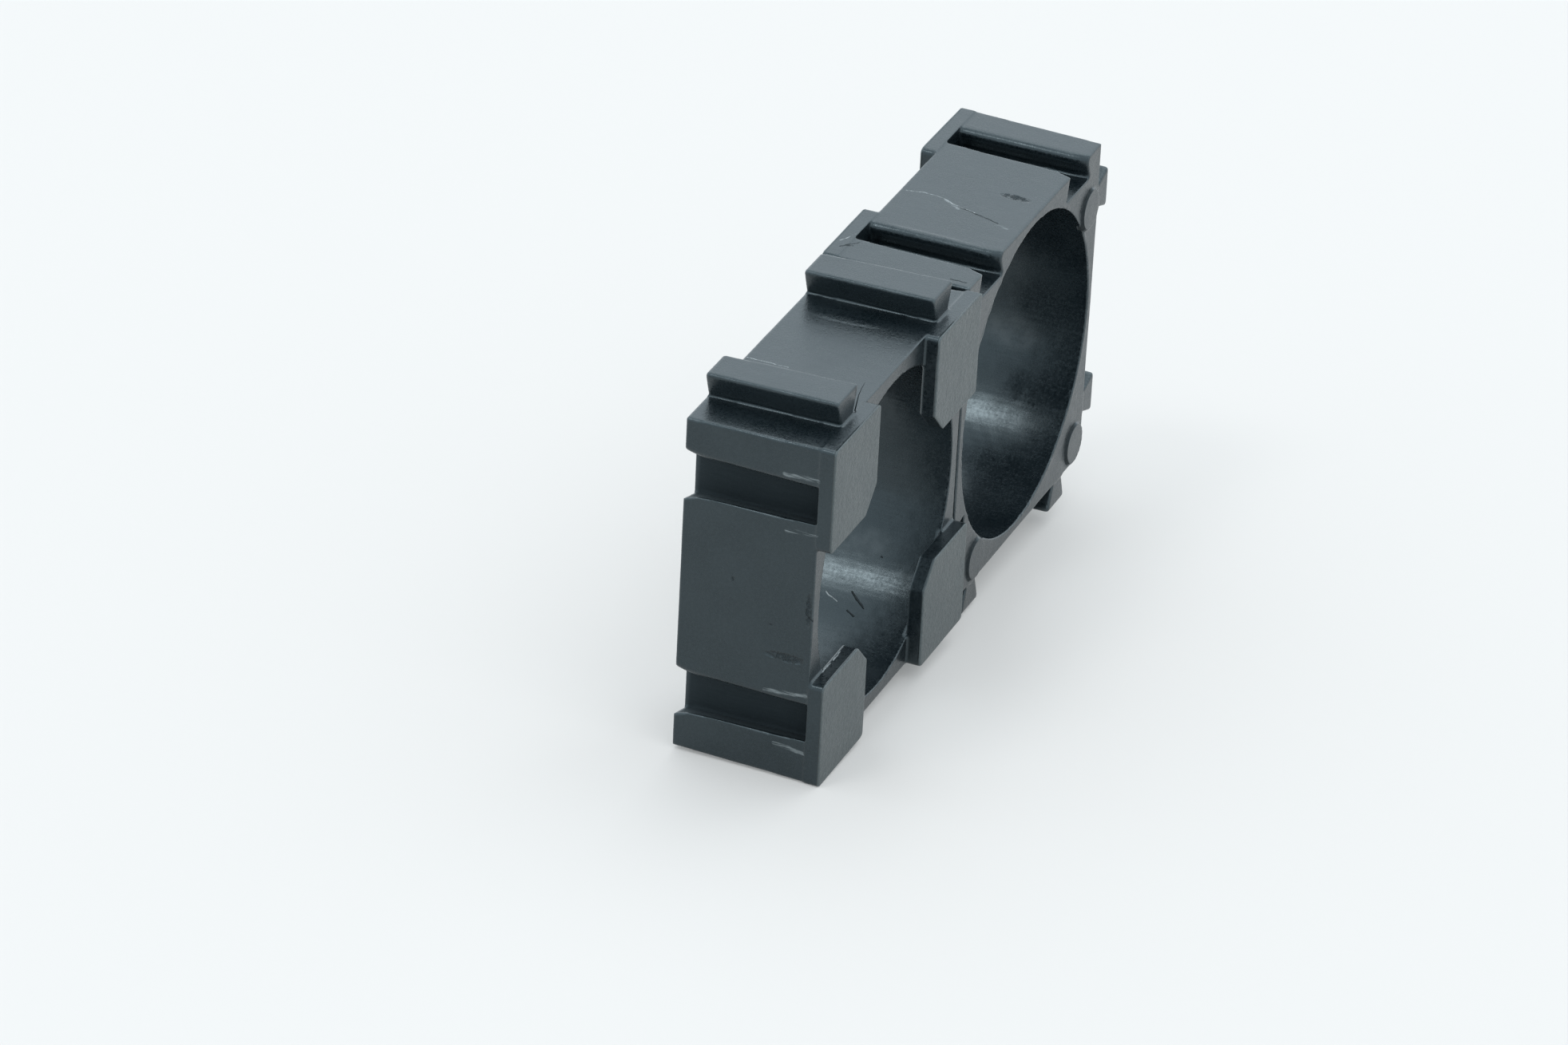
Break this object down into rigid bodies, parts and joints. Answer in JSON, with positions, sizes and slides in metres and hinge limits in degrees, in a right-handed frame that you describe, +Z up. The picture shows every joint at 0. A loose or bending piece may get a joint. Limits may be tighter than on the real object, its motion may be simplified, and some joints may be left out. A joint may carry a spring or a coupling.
{
  "type": "battery cell spacer bracket pair",
  "caption": "Square moulded spacer brackets for cylindrical battery cells, clipped side by side by dovetail tongues and slots, with corner pads that stop each cell.",
  "frame": {"origin": "middle of the pair's footprint, at the height of the lowest tongues", "axes": "+X along the pair from the slotted end to the tongued end, Y along the bores with the near bracket's pads towards -Y, +Z up"},
  "size_m": [0.042, 0.0094, 0.0232],
  "materials": {
    "near_bracket": "fine moulded grain with a low sheen",
    "far_bracket": "fine moulded grain with a low sheen"
  },
  "bodies": {
    "near": {"near_bracket": "near_bracket"},
    "far": {"far_bracket": "far_bracket"}
  },
  "joints": [
    {"name": "clip_slide", "type": "slide", "parent": "near", "child": "far", "axis": [0, 1, 0], "range_m": [0, 0.0077]}
  ]
}
